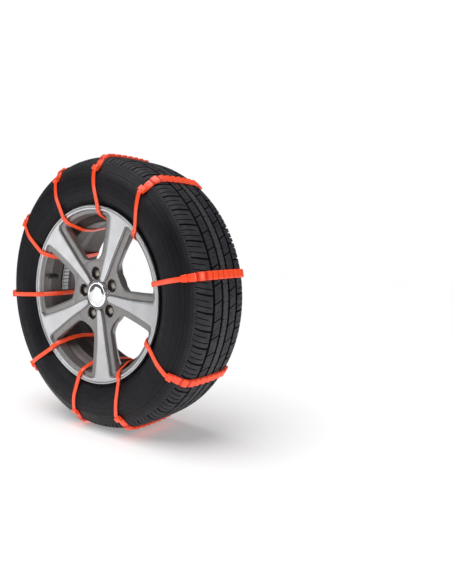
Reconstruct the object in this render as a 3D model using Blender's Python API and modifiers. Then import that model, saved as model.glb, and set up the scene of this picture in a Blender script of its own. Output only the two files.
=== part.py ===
"""Passenger-car wheel and tyre dressed with ten moulded anti-skid cable ties.

Frame: the origin is the wheel centre, +Y runs along the axle toward the
vehicle, so the outboard face looks toward -Y, and +Z is up.  An angle is
measured about +Y from +Z, which is clockwise for someone facing the outboard
side.  Profiles are lists of (axial y, radius) pairs.  Metres throughout.
"""
import math

import bmesh
import bpy
from mathutils import Matrix, Vector

# ------------------------------------------------------- driving dimensions
STEPS = 40                      # flats round every piece turned about the axle
GAP = 0.0003                    # clearance between touching pieces
TYRE_RADIUS = 0.3615            # 225/65 R17
TREAD_HALF = 0.0830             # the crown's curve ends here and the round shoulder starts
CROWN = 0.52                    # the crown drops by CROWN * y * y
CROWN_EDGE = 7.04               # and by CROWN_EDGE * (y - EDGE_FROM) ** 2 beyond EDGE_FROM
EDGE_FROM = 0.055
SHOULDER = [(0.0905, 0.3440), (0.0980, 0.3312), (0.1050, 0.3215)]       # (y, radius)
SHOULDER_LIFT = [(0.0920, 0.3451), (0.0995, 0.3322), (0.1065, 0.3226)]  # a strap's middle line over it
GROOVE_DEPTH = 0.008
SEAT_RADIUS = 0.2185            # 17 inch bead seat, at its outer end
FLANGE_RADIUS = 0.2356
FLANGE_Y = 0.1010               # outer face of each rim flange
HUB_FACE_Y = -0.045             # 45 mm offset
BOLT_RADIUS = 0.05715           # 5 x 114.3 bolt circle
BORE_RADIUS = 0.032
SPOKE_ANGLES = [26.0 + 72.0 * k for k in range(5)]
WINDOW_ANGLES = [a + 36.0 for a in SPOKE_ANGLES]
LEDGE_DROP = 0.006              # painted ledges lie this far behind the machined faces
FLARE_FROM, FLARE_TO = -0.0715, -0.0500         # the windows are straight to here, then open out to here
VALVE_ANGLE = 280.2
VALVE_TILT = math.radians(8.0)
WEIGHT_SPAN = (269.2, 291.2)
# each tie was pulled tight by hand, so its angle differs a little between
# the tread and the rim, and the spacing isn't quite even
TIE_ON_TREAD = [5.0, 35.3, 78.7, 121.5, 160.5, 190.2, 228.2, 266.5, 304.6, 337.0]
TIE_ON_RIM = [6.8, 43.0, 78.6, 118.0, 153.5, 192.3, 225.5, 266.2, 297.5, 332.0]
STRAP_WIDTH = 0.0120
STRAP_THICKNESS = 0.0020
CLEAT_WIDTH = 0.0220
CLEATS = 9
CLEAT_REACH = 0.0920            # along the tread, from its middle to the first and last cleat's end
PAD_REACH = 0.1115              # a smooth pad joins the first cleat to the head
HEAD_WIDTH = 0.0190

# ------------------------------------------------------------------ scene
for old in list(bpy.data.objects):
    bpy.data.objects.remove(old, do_unlink=True)
parts = bpy.data.collections.new("wheel_with_anti_skid_ties")
cutters = bpy.data.collections.new("cutters")
bpy.context.scene.collection.children.link(parts)
bpy.context.scene.collection.children.link(cutters)
axle = bpy.data.objects.new("axle", None)
parts.objects.link(axle)


def material(name, colour, roughness, metallic=0.0):
    made = bpy.data.materials.new(name)
    made.use_nodes = True
    shader = made.node_tree.nodes["Principled BSDF"]
    shader.inputs["Base Color"].default_value = (*colour, 1.0)
    shader.inputs["Roughness"].default_value = roughness
    shader.inputs["Metallic"].default_value = metallic
    made.diffuse_color = (*colour, 1.0)
    return made


RUBBER = material("tyre_rubber", (0.022, 0.023, 0.027), 0.62)
PLY = material("ply_rubber", (0.05, 0.045, 0.04), 0.8)
STEEL = material("steel", (0.45, 0.45, 0.47), 0.4, 1.0)
ALLOY = material("machined_alloy", (0.62, 0.62, 0.64), 0.28, 1.0)
NUT_STEEL = material("nut_plating", (0.62, 0.54, 0.42), 0.3, 1.0)
CHROME = material("chrome", (0.8, 0.8, 0.82), 0.1, 1.0)
BRASS = material("brass", (0.75, 0.55, 0.25), 0.35, 1.0)
BLACK = material("black_rubber", (0.015, 0.015, 0.015), 0.6)
ZINC = material("zinc", (0.52, 0.53, 0.55), 0.45, 1.0)
NYLON = material("orange_nylon", (0.95, 0.07, 0.02), 0.3)


# ------------------------------------------------------------------ tools
def link(name, mesh, paint=None, parent=axle):
    """Put a mesh in the model, or among the cutters when it has no paint."""
    made = bpy.data.objects.new(name, mesh)
    if paint is None:
        cutters.objects.link(made)
        made.hide_render = True
        made.display_type = 'WIRE'
    else:
        parts.objects.link(made)
        mesh.materials.clear()
        mesh.materials.append(paint)
    made.parent = parent
    return made


def evaluated_mesh(made):
    graph = bpy.context.evaluated_depsgraph_get()
    return bpy.data.meshes.new_from_object(made.evaluated_get(graph))


def bake(made):
    """Replace an object's modifiers by the mesh that they make."""
    mesh = evaluated_mesh(made)
    made.modifiers.clear()
    made.data = mesh
    mesh.shade_smooth()
    mesh.set_sharp_from_angle(angle=math.radians(32.0))
    return made


def clean(mesh, flat=False):
    """Merge doubled points and turn the faces outward; flat also makes every
    face a triangle, for shapes with twisted sides."""
    shape = bmesh.new()
    shape.from_mesh(mesh)
    bmesh.ops.remove_doubles(shape, verts=shape.verts, dist=1e-6)
    if flat:
        bmesh.ops.triangulate(shape, faces=shape.faces)
    bmesh.ops.recalc_face_normals(shape, faces=shape.faces)
    shape.to_mesh(mesh)
    shape.free()
    return mesh


def doubled_area(profile):
    ends = profile[1:] + profile[:1]
    return sum(a[1] * b[0] - b[1] * a[0] for a, b in zip(profile, ends))


def turned(name, profile, paint=None, steps=STEPS, angle=SPOKE_ANGLES[0]):
    """Turn a (y, radius) outline about the axle.  An outline that starts and
    ends on the axis is left open there; any other is closed."""
    if doubled_area(profile) > 0.0:
        profile = profile[::-1]
    solid = profile[0][1] == 0.0 and profile[-1][1] == 0.0
    count = len(profile)
    edges = [(i, (i + 1) % count) for i in range(count - 1 if solid else count)]
    mesh = bpy.data.meshes.new(name)
    mesh.from_pydata([(r, 0.0, y) for y, r in profile], edges, [])
    made = link(name, mesh, paint)
    screw = made.modifiers.new("turn", 'SCREW')
    screw.axis = 'Z'
    screw.steps = screw.render_steps = steps
    screw.use_merge_vertices = True
    screw.merge_threshold = 1e-6
    made.rotation_euler = (math.radians(-90.0), math.radians(angle - 90.0), 0.0)
    return bake(made)


def flat_outline(name, points, thickness, across=False):
    """Mesh of a flat outline with the given thickness.  Points are (y, z) and
    the thickness lies along X, or points are (x, z) with it along Y."""
    curve = bpy.data.curves.new(name, 'CURVE')
    curve.dimensions = '2D'
    curve.fill_mode = 'BOTH'
    curve.extrude = thickness * 0.5
    spline = curve.splines.new('POLY')
    spline.points.add(len(points) - 1)
    for point, (a, b) in zip(spline.points, points):
        point.co = (a, b, 0.0, 1.0)
    spline.use_cyclic_u = True
    drawn = bpy.data.objects.new(name, curve)
    cutters.objects.link(drawn)
    mesh = evaluated_mesh(drawn)
    bpy.data.objects.remove(drawn, do_unlink=True)
    if across:
        mesh.transform(Matrix(((1, 0, 0, 0), (0, 0, -1, 0), (0, 1, 0, 0), (0, 0, 0, 1))))
    else:
        mesh.transform(Matrix(((0, 0, 1, 0), (1, 0, 0, 0), (0, 1, 0, 0), (0, 0, 0, 1))))
    return clean(mesh)


def boolean(made, tool, operation='DIFFERENCE'):
    step = made.modifiers.new(tool.name, 'BOOLEAN')
    step.operation = operation
    step.solver = 'EXACT'
    step.object = tool


def mirrored(half):
    """The same profile points on the other side of the centre plane."""
    return [(-y, r) for y, r in reversed(half)]


def crown(y):
    return TYRE_RADIUS - CROWN * y * y - CROWN_EDGE * max(0.0, abs(y) - EDGE_FROM) ** 2


def on_tread(run, lift):
    """(y, radius) of the point that lies `run` along the tread from its
    middle and `lift` outside it."""
    line = [(y, crown(y)) for y in (TREAD_HALF * k / 8.0 for k in range(9))] + SHOULDER
    left = abs(run)
    for (y0, r0), (y1, r1) in zip(line, line[1:]):
        length = math.hypot(y1 - y0, r1 - r0)
        if left <= length:
            break
        left -= length
    along = Vector((y1 - y0, r1 - r0)) / length
    point = Vector((y0, r0)) + left * along + lift * Vector((-along.y, along.x))
    return (math.copysign(point.x, run), point.y)


# ------------------------------------------------------------------- tyre
def make_tread():
    """Tread rubber: five ribs between four round grooves."""
    half = [(0.0815, 0.3480), (0.1035, 0.3205)] + SHOULDER[::-1]
    half += [(y, crown(y)) for y in (TREAD_HALF, 0.0700)]
    for outer, inner in ((0.0498, 0.0418), (0.0170, 0.0095)):
        half += [(outer, crown(outer)), (outer, crown(outer) - GROOVE_DEPTH),
                 (inner, crown(inner) - GROOVE_DEPTH), (inner, crown(inner))]
    turned("tyre_tread", half + mirrored(half), RUBBER)


def make_casing():
    """Belt, ply, sidewall rubber and bead rings, under the tread."""
    belt = [(0.0800, 0.3466), (0.0800, 0.3477)]
    turned("steel_belt", belt + mirrored(belt), STEEL)
    ply = [(0.0680, 0.2176), (0.0862, 0.2212), (0.0862, 0.2222), (0.0732, 0.2222), (0.0732, 0.2320),
           (0.0825, 0.2322), (0.0866, 0.2442), (0.1010, 0.2612), (0.1095, 0.2880), (0.1033, 0.3150),
           (0.1027, 0.3203), (0.0808, 0.3463)]
    liner = [(0.0790, 0.3425), (0.1000, 0.3160), (0.1065, 0.2890), (0.0975, 0.2640), (0.0830, 0.2490),
             (0.0700, 0.2350), (0.0690, 0.2290)]
    turned("tyre_carcass", ply + mirrored(ply) + [(-y, r) for y, r in reversed(liner)] + liner, PLY)
    wall = [(0.0882, 0.2240), (0.0884, 0.2310), (0.0915, 0.2380), (0.1080, 0.2620), (0.1132, 0.2800),
            (0.1140, 0.2930), (0.1134, 0.3060), (0.1100, 0.3150), (0.1056, 0.3207), (0.1034, 0.3200), (0.1040, 0.3142),
            (0.1099, 0.2882), (0.1014, 0.2609), (0.0870, 0.2439), (0.0830, 0.2322), (0.0830, 0.2227)]
    bead = [(0.0825, 0.2226), (0.0825, 0.2316), (0.0736, 0.2316), (0.0736, 0.2226)]
    for side, place in ((-1.0, "outboard"), (1.0, "inboard")):
        turned("sidewall_" + place, [(side * y, r) for y, r in wall], RUBBER)
        turned("bead_core_" + place, [(side * y, r) for y, r in bead], STEEL)


# ------------------------------------------------------------ alloy wheel
FACE = [(0.0280, -0.0815), (0.0600, -0.0820), (0.1300, -0.0865), (0.1900, -0.0930), (0.2200, -0.0978),
        (0.2280, -0.0990)]                                                # (radius, y) of the machined faces
SPOKE_HALF = [(0.0440, 0.0075), (0.0710, 0.0105), (0.1150, 0.0135), (0.1600, 0.0195), (0.1930, 0.0250),
              (0.2130, 0.0290), (0.2225, 0.0360)]                         # (radius, half width) of a machined face
WINDOW_EDGE = [(0.0932, 5.5), (0.0965, 11.5), (0.1030, 16.0), (0.1150, 19.1), (0.1600, 21.9), (0.2050, 23.0),
               (0.2105, 22.4), (0.2126, 20.6), (0.2126, 12.4), (0.2126, 4.2)]      # (radius, half angle)
WINDOW_BACK = [(0.0889, 8.1), (0.0932, 16.2), (0.1018, 21.9), (0.1154, 25.7), (0.1621, 27.4), (0.2084, 27.4),
               (0.2126, 26.6), (0.2126, 24.6), (0.2126, 13.0), (0.2126, 4.2)]      # the same, at the back of the spokes


def sector_loop(edge):
    """Whole outline of a window on +Z, from its (radius, half angle) pairs."""
    loop = [(r * math.sin(math.radians(h)), r * math.cos(math.radians(h))) for r, h in edge]
    return loop + [(-x, z) for x, z in reversed(loop)]


def sector(name, edge, y0, y1, back_edge=None):
    """Five prisms on the window angles.  With back_edge, which has as many
    pairs as edge, each one widens to it at the inboard end."""
    front = sector_loop(edge)
    mesh = flat_outline(name, front, y1 - y0, across=True)
    if back_edge:
        back = sector_loop(back_edge)
        for vertex in mesh.vertices:
            if vertex.co.y > 0.0:
                gaps = [math.hypot(vertex.co.x - x, vertex.co.z - z) for x, z in front]
                vertex.co.x, vertex.co.z = back[gaps.index(min(gaps))]
        clean(mesh, flat=True)
    tools = []
    for number, angle in enumerate(WINDOW_ANGLES, 1):
        tool = link("%s_%d" % (name, number), mesh)
        tool.location = (0.0, 0.5 * (y0 + y1), 0.0)
        tool.rotation_euler = (0.0, math.radians(angle), 0.0)
        tools.append(tool)
    return tools


def make_alloy_wheel():
    """One casting: barrel, dished disc with five windows, raised star."""
    barrel = turned("alloy_wheel", [
        (-0.0905, 0.2150), (-0.0905, 0.2260), (-FLANGE_Y, 0.2260), (-FLANGE_Y, 0.2335), (-0.0970, FLANGE_RADIUS),
        (-0.0920, FLANGE_RADIUS), (-0.0889, 0.2300), (-0.0889, 0.2240), (-0.0850, SEAT_RADIUS), (-0.0660, 0.2168),
        (-0.0580, 0.2160), (-0.0450, 0.1980), (-0.0120, 0.1980), (0.0300, 0.2165), (0.0620, 0.2168),
        (0.0850, SEAT_RADIUS), (0.0889, 0.2240), (0.0889, 0.2300), (0.0920, FLANGE_RADIUS), (0.0970, FLANGE_RADIUS),
        (FLANGE_Y, 0.2335), (FLANGE_Y, 0.2290), (0.0930, 0.2140), (0.0840, 0.2125), (0.0330, 0.2110),
        (-0.0100, 0.1930), (-0.0470, 0.1930), (-0.0600, 0.2085), (-0.0660, 0.2100), (-0.0850, 0.2125)], ALLOY)
    disc = turned("disc", [(y + LEDGE_DROP, r) for r, y in FACE[:5]] + [
        (-0.0925, 0.2272), (-0.0910, 0.2272), (-0.0870, 0.2150), (-0.0600, 0.2110), (-0.0480, 0.1945),
        (-0.0585, 0.1830), (-0.0580, 0.1500), (-0.0520, 0.0900), (HUB_FACE_Y, 0.0780), (HUB_FACE_Y, 0.0280)])
    star = turned("star", [(y, r) for r, y in FACE] + [(y + 0.0085, r) for r, y in reversed(FACE)])
    pockets = [(r, 36.0 - math.degrees(math.asin(half / r))) for r, half in SPOKE_HALF]
    pockets += [(r, fraction * pockets[i][1]) for i, r, fraction in
                ((-1, 0.2225, 0.72), (-1, 0.2225, 0.42), (-1, 0.2225, 0.14))]
    for tool in sector("window", WINDOW_EDGE, -0.12, -0.03):
        boolean(disc, tool)
    for tool in sector("window_flare", WINDOW_EDGE, FLARE_FROM, FLARE_TO, WINDOW_BACK):
        boolean(disc, tool)
    for tool in sector("pocket", pockets, -0.12, -0.06):
        boolean(star, tool)
    boolean(disc, star, 'UNION')
    boolean(barrel, disc, 'UNION')
    boolean(barrel, turned("bore", [(-0.12, 0.0), (-0.12, 0.0345), (-0.0778, 0.0345), (-0.0778, BORE_RADIUS),
                                    (-0.03, BORE_RADIUS), (-0.03, 0.0)]))
    for number, angle in enumerate(WINDOW_ANGLES, 1):
        hole = turned("lug_hole_%d" % number, [(-0.12, 0.0), (-0.12, 0.0142), (-0.0665, 0.0142), (-0.0600, 0.0078),
                                               (-0.03, 0.0078), (-0.03, 0.0)], steps=14)
        hole.location = (BOLT_RADIUS * math.sin(math.radians(angle)), 0.0, BOLT_RADIUS * math.cos(math.radians(angle)))
        boolean(barrel, hole)
    hole = turned("valve_hole", [(-0.026, 0.0), (-0.026, 0.0063), (0.0045, 0.0063), (0.0045, 0.0090),
                                 (0.030, 0.0090), (0.030, 0.0)], steps=16)
    to_valve(hole)
    boolean(barrel, hole)
    bake(barrel)


# ------------------------------------------------------- fasteners, valve
def to_valve(made):
    """Move a piece turned about the axle to the valve's own, tilted axis."""
    made.matrix_basis = (Matrix.Rotation(math.radians(VALVE_ANGLE), 4, 'Y')
                         @ Matrix.Translation((0.0, -0.0500, 0.2045))
                         @ Matrix.Rotation(VALVE_TILT, 4, 'X')
                         @ Matrix.Rotation(math.radians(-90.0), 4, 'X'))


def make_nuts():
    for number, angle in enumerate(WINDOW_ANGLES, 1):
        place = (BOLT_RADIUS * math.sin(math.radians(angle)), 0.0, BOLT_RADIUS * math.cos(math.radians(angle)))
        nut = turned("lug_nut_%d" % number, [(-0.0605, 0.0), (-0.0605, 0.0072), (-0.0660, 0.0128), (-0.0672, 0.0112),
                                             (-0.0685, 0.0109), (-0.0708, 0.0080), (-0.0716, 0.0)],
                     NUT_STEEL, steps=12)
        bore = turned("nut_bore_%d" % number, [(-0.055, 0.0), (-0.055, 0.0056), (-0.0655, 0.0056), (-0.0668, 0.0)],
                      steps=12)
        nut.location = bore.location = place
        boolean(nut, bore)
        bake(nut)


def make_cap():
    """Domed disc with a spring skirt that grips the bore."""
    turned("centre_cap", [(-0.0850, 0.0), (-0.0845, 0.0160), (-0.0820, 0.0290), (-0.0805, 0.0338), (-0.0782, 0.0338),
                          (-0.0782, 0.0313), (-0.0620, 0.0313), (-0.0620, 0.0295), (-0.0782, 0.0290),
                          (-0.0810, 0.0)], CHROME, steps=30)


def make_valve():
    """Snap-in valve: y runs from its outer end (negative) to the tyre side."""
    pieces = [
        ("valve_rubber", BLACK, 14, [(0.0110, 0.0030), (0.0110, 0.0066), (0.0095, 0.0084), (0.0052, 0.0084),
                                     (0.0042, 0.0059), (-0.0100, 0.0059), (-0.0120, 0.0050), (-0.0230, 0.0044),
                                     (-0.0230, 0.0030)]),
        ("valve_tube", BRASS, 12, [(0.0085, 0.0018), (0.0085, 0.0027), (-0.0310, 0.0027), (-0.0310, 0.0018)]),
        ("valve_core", BRASS, 10, [(-0.0180, 0.0007), (-0.0180, 0.0015), (-0.0300, 0.0015), (-0.0300, 0.0007)]),
        ("valve_core_pin", STEEL, 8, [(-0.0165, 0.0), (-0.0165, 0.0004), (-0.0318, 0.0004), (-0.0318, 0.0)]),
        ("valve_cap", BLACK, 14, [(-0.0342, 0.0), (-0.0342, 0.0030), (-0.0236, 0.0030), (-0.0236, 0.0048),
                                  (-0.0350, 0.0044), (-0.0362, 0.0030), (-0.0362, 0.0)])]
    for name, paint, steps, profile in pieces:
        to_valve(turned(name, profile, paint, steps=steps))


def make_weights():
    """Seven stick-on blocks on one backing strip, inside the barrel."""
    start, end = WEIGHT_SPAN
    blocks = 7
    step = (end - start) / blocks
    loop = []
    for block in range(blocks):
        first = start + step * block + 0.18
        last = first + step - 0.36
        loop += [(first, 0.1880), (last, 0.1880)]
        if block < blocks - 1:
            loop += [(last, 0.1912), (last + 0.36, 0.1912)]
    back = [(end - 0.18 - (end - start - 0.36) * k / blocks, 0.1920) for k in range(blocks + 1)]
    points = [(r * math.sin(math.radians(a)), r * math.cos(math.radians(a))) for a, r in loop + back]
    weights = link("balance_weights", flat_outline("balance_weights", points, 0.0200, across=True), ZINC)
    weights.location = (0.0, -0.0340, 0.0)


# ------------------------------------------------------------------- ties
HEAD_AT = Vector((-0.1039, 0.3240))             # (y, z) on the shoulder under the head
HEAD_ALONG = Vector((0.571, 0.821))            # up the shoulder
HEAD_OUT = Vector((-0.821, 0.571))             # away from the tyre
PAWL_HINGE = (-0.0018, 0.0072)


def on_head(along, out):
    point = HEAD_AT + along * HEAD_ALONG + out * HEAD_OUT
    return (point.x, point.y)


def strap_route():
    """Middle line of the strap: out of the head's floor, over the tread,
    down the inboard side, under the rim, up the outboard side and through
    the head's slot."""
    side = [(0.1116, 0.3159), (0.1152, 0.3064), (0.1158, 0.2930), (0.1152, 0.2796), (0.1028, 0.2330)]
    over = [on_head(-0.0040, 0.0016), on_head(0.0070, 0.0016), (-SHOULDER_LIFT[0][0], SHOULDER_LIFT[0][1])]
    over += [on_tread(run, 0.0018) for run in (-0.0850, -0.0700, -0.0450, 0.0, 0.0450, 0.0700, 0.0850)]
    over += SHOULDER_LIFT
    under = [(0.1027, 0.2286), (0.0941, 0.2124), (-0.0098, 0.1908), (-0.0474, 0.1908), (-0.0938, 0.2107),
             (-0.1028, 0.2256)]
    up = [(-y, r) for y, r in reversed(side[1:])]
    return over + side + under + up + [on_head(s, 0.0041) for s in (-0.0105, -0.0078, 0.0085)]


def band(route, thickness):
    """Outline of a band of even thickness along an open route."""
    left, right = [], []
    last = len(route) - 1
    for i, point in enumerate(route):
        here = Vector(point)
        before = (here - Vector(route[max(0, i - 1)])).normalized() if i else None
        after = (Vector(route[min(last, i + 1)]) - here).normalized() if i < last else before
        before = before or after
        across = Vector((-(before + after).y, (before + after).x)).normalized()
        reach = 0.5 * thickness / max(0.5, across.dot(Vector((-before.y, before.x))))
        left.append(tuple(here + across * reach))
        right.append(tuple(here - across * reach))
    return left + right[::-1]


def lean(mesh, angle):
    """Swing the strap about the axle, not at all at the shoulder and by the
    whole angle from the rim flange inwards."""
    high, low = 0.3170, 0.2335
    for vertex in mesh.vertices:
        radius = math.hypot(vertex.co.x, vertex.co.z)
        part = min(1.0, max(0.0, (high - radius) / (high - low)))
        vertex.co = Matrix.Rotation(math.radians(angle) * part, 3, 'Y') @ vertex.co


def cleat_outline():
    """Sawtooth cleats on a base that follows the tread and its shoulders."""
    pitch = 2.0 * CLEAT_REACH / CLEATS
    points = [on_tread(-PAD_REACH, 0.0044), on_tread(-0.1050, 0.0040), on_tread(-CLEAT_REACH, 0.0036)]
    for cleat in range(CLEATS):
        for share, height in ((0.05, 0.0036), (0.75, 0.0069)):
            points.append(on_tread((cleat + share) * pitch - CLEAT_REACH, height))
    points.append(on_tread(CLEAT_REACH, 0.0036))
    under = [0.0450, 0.0700, 0.0850, CLEAT_REACH]
    under = [-run for run in reversed(under)] + [0.0] + under
    under = [-PAD_REACH, -0.1050, -0.0985] + under
    return points + [on_tread(run, 0.0004) for run in reversed(under)]


def make_ties():
    route = band(strap_route(), STRAP_THICKNESS)
    cleats = flat_outline("cleats", cleat_outline(), CLEAT_WIDTH)
    block = link("head_block", flat_outline("head_block", [on_head(*p) for p in (
        (-0.0070, 0.0005), (-0.0070, 0.0088), (-0.0060, 0.0098), (0.0060, 0.0098), (0.0070, 0.0088),
        (0.0070, 0.0005))], HEAD_WIDTH))
    slot = [on_head(s, h) for s, h in ((-0.008, 0.0028), (-0.008, 0.0054), (0.008, 0.0054), (0.008, 0.0028))]
    room = [on_head(s, h) for s, h in ((-0.0032, 0.005), (-0.0032, 0.0088), (0.008, 0.0088), (0.008, 0.005))]
    boolean(block, link("slot", flat_outline("slot", slot, STRAP_WIDTH + 0.0007)))
    boolean(block, link("pawl_room", flat_outline("pawl_room", room, 0.0092)))
    head = bake(block).data
    finger = [(-0.0028, 0.0064), (-0.0028, 0.0083), (-0.0012, 0.0083), (0.0050, 0.0070), (0.0046, 0.0055),
              (0.0030, 0.0062), (0.0018, 0.0056), (0.0006, 0.0064)]
    pawl = flat_outline("pawl", [on_head(s, h) for s, h in finger], 0.0084)
    hinge = on_head(*PAWL_HINGE)
    pawl.transform(Matrix.Translation((0.0, -hinge[0], -hinge[1])))
    for number, (tread_angle, rim_angle) in enumerate(zip(TIE_ON_TREAD, TIE_ON_RIM), 1):
        turn = math.radians(tread_angle)
        name = "tie_%02d" % number
        strap = flat_outline(name, route, STRAP_WIDTH)
        lean(strap, rim_angle - tread_angle)
        tie = link(name, strap, NYLON)
        tie.rotation_euler = (0.0, turn, 0.0)
        for tool in (link(name + "_cleats", cleats), link(name + "_head", head)):
            tool.rotation_euler = (0.0, turn, 0.0)
            boolean(tie, tool, 'UNION')
        catch = link(name + "_pawl", pawl.copy(), NYLON)
        catch.rotation_euler = (0.0, turn, 0.0)
        catch.location = Matrix.Rotation(turn, 3, 'Y') @ Vector((0.0, hinge[0], hinge[1]))


make_tread()
make_casing()
make_alloy_wheel()
make_nuts()
make_cap()
make_valve()
make_weights()
make_ties()
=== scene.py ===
"""Looks of a car wheel and tyre wrapped by ten orange anti-skid cable ties.

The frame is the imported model's: the axle runs along Y, the outboard face
looks toward -Y and +Z is up.  An angle is measured about +Y from +Z, clockwise
for someone facing the outboard side.  Profiles are (y, radius) pairs, metres.
"""
import math

import bmesh
import bpy
from mathutils import Matrix, Vector


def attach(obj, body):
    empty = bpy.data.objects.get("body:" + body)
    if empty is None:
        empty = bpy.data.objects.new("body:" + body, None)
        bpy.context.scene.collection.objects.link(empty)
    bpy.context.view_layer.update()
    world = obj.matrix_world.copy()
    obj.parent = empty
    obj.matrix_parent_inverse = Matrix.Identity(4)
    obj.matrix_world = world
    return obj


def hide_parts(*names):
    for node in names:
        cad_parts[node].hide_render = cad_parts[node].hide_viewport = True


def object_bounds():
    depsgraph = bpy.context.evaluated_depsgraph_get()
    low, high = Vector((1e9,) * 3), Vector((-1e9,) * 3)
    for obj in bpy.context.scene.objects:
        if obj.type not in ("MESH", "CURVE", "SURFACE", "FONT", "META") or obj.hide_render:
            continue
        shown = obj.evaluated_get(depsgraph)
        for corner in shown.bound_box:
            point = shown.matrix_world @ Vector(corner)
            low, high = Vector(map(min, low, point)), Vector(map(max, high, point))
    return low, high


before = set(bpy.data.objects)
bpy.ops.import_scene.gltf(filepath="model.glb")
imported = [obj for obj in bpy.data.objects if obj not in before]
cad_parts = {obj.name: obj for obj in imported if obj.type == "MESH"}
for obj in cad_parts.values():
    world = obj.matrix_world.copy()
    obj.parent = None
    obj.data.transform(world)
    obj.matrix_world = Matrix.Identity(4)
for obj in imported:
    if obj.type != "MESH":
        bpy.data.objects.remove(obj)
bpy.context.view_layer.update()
SCENE = bpy.context.scene

# ------------------------------------------------------- shared dimensions
TYRE_RADIUS = 0.3615
TREAD_HALF = 0.0830                 # the crown's curve ends here
SHOULDER = [(0.0905, 0.3440), (0.0980, 0.3312), (0.1050, 0.3215)]
GROOVE_DEPTH = 0.0080
DEEPEST_CUT = [(0.0720, 0.0070), (0.0850, 0.0042), (0.0960, 0.0034)]        # (run, depth) toward the shoulder
CENTRE_RIB = 0.0095                 # run at the edge of the centre rib
INNER_RIB = (0.0170, 0.0418)        # runs at both edges of the ribs beside it
PITCHES = 53                        # tread blocks round the tyre
PITCH_ANGLE = 360.0 / PITCHES
FACE = [(0.0280, -0.0815), (0.0600, -0.0820), (0.1300, -0.0865), (0.1900, -0.0930), (0.2200, -0.0978),
        (0.2280, -0.0990)]          # (radius, y) of the machined faces
LEDGE_DROP = 0.0060                 # painted ledges lie this far behind them
SPOKE_ANGLES = [26.0 + 72.0 * k for k in range(5)]
WINDOW_ANGLES = [a + 36.0 for a in SPOKE_ANGLES]
SPOKE_HALF = [(0.0480, 0.0079), (0.0710, 0.0105), (0.1150, 0.0135), (0.1600, 0.0195), (0.1930, 0.0250),
              (0.2130, 0.0290), (0.2190, 0.0330), (0.2225, 0.0420)]      # (radius, half width)
WINDOW_FRONT = [(0.0932, 5.5), (0.0965, 11.5), (0.1030, 16.0), (0.1150, 19.1), (0.1600, 21.9), (0.2050, 23.0),
                (0.2105, 22.4), (0.2126, 20.6)]                          # (radius, half angle)
WINDOW_BACK = [(0.0889, 8.1), (0.0932, 16.2), (0.1018, 21.9), (0.1154, 25.7), (0.1621, 27.4), (0.2084, 27.4),
               (0.2126, 26.6)]
FLARE_FROM, FLARE_TO = -0.0715, -0.0500
DISC_BACK = [(0.0780, -0.0450), (0.0900, -0.0520), (0.1500, -0.0580), (0.1830, -0.0585), (0.1945, -0.0500),
             (0.2200, -0.0500)]     # (radius, y)
BOLT_RADIUS = 0.05715
HOLE_RADIUS, HOLE_MOUTH = 0.0168, 0.0186    # of a nut's hole, and of its chamfer
NUT_SEAT = 0.0142
VALVE_ANGLE = 280.2
VALVE_TILT = 8.0
WEIGHT_SPAN = (269.2, 291.2)
TIE_ON_TREAD = [5.0, 35.3, 78.7, 121.5, 160.5, 190.2, 228.2, 266.5, 304.6, 337.0]
TIE_ON_RIM = [6.8, 43.0, 78.6, 118.0, 153.5, 192.3, 225.5, 266.2, 297.5, 332.0]
STRAP_WIDTH = 0.0120
CLEATS = 9
CLEAT_REACH = 0.0920                # run from the tread's middle to the first and last cleat's end
PAD_REACH = 0.1115                  # a smooth pad joins the first cleat to the head
HEAD_AT = Vector((-0.1039, 0.3240))         # (y, radius) on the shoulder under a head
HEAD_ALONG = Vector((0.571, 0.821))         # up the shoulder
HEAD_OUT = Vector((-0.821, 0.571))          # away from the tyre
LEAN_FROM, LEAN_TO = 0.3170, 0.2335         # a strap leans between these radii
ROOM_LIGHT = 0.13
# name, kind, power, size (metres, or radians for a sun) and place, aimed at the wheel's centre
LAMPS = [("sky", 'SUN', 2.3, 1.0, (-0.5, -0.8, 3.0)), ("left_front", 'AREA', 2.6, 0.8, (-1.5, -1.8, -0.12)),
         ("right", 'AREA', 9.0, 0.7, (2.2, -0.9, 0.6))]


# ------------------------------------------------------------------ curves
def polar(angle, y, radius):
    turn = math.radians(angle)
    return (radius * math.sin(turn), y, radius * math.cos(turn))


def between(table, x):
    """Value at x of a table of (x, value) pairs, held at its ends."""
    if x <= table[0][0]:
        return table[0][1]
    for (x0, v0), (x1, v1) in zip(table, table[1:]):
        if x <= x1:
            return v0 + (v1 - v0) * (x - x0) / (x1 - x0)
    return table[-1][1]


def smooth_line(points, steps=6):
    """Catmull-Rom curve through (a, b) points."""
    line = [Vector(p) for p in points]
    ends = [2.0 * line[0] - line[1]] + line + [2.0 * line[-1] - line[-2]]
    found = []
    for a, b, c, d in zip(ends, ends[1:], ends[2:], ends[3:]):
        for k in range(steps):
            t = k / steps
            found.append(tuple(0.5 * (2.0 * b + (c - a) * t + (2.0 * a - 5.0 * b + 4.0 * c - d) * t * t
                                      + (3.0 * b - a - 3.0 * c + d) * t * t * t)))
    return found + [tuple(line[-1])]


def softened(points, radius, steps=3, closed=True):
    """The same outline with its corners rounded."""
    found = []
    for i, point in enumerate(points):
        if not closed and i in (0, len(points) - 1):
            found.append(tuple(point))
            continue
        here, before, after = Vector(point), Vector(points[i - 1]), Vector(points[(i + 1) % len(points)])
        reach = min(radius, 0.45 * (before - here).length, 0.45 * (after - here).length)
        start = here + reach * (before - here).normalized()
        end = here + reach * (after - here).normalized()
        for k in range(steps + 1):
            t = k / steps
            found.append(tuple(start * (1 - t) ** 2 + here * (2 * t * (1 - t)) + end * t * t))
    return found


def crown(y):
    return TYRE_RADIUS - 0.52 * y * y - 7.04 * max(0.0, abs(y) - 0.055) ** 2


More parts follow.
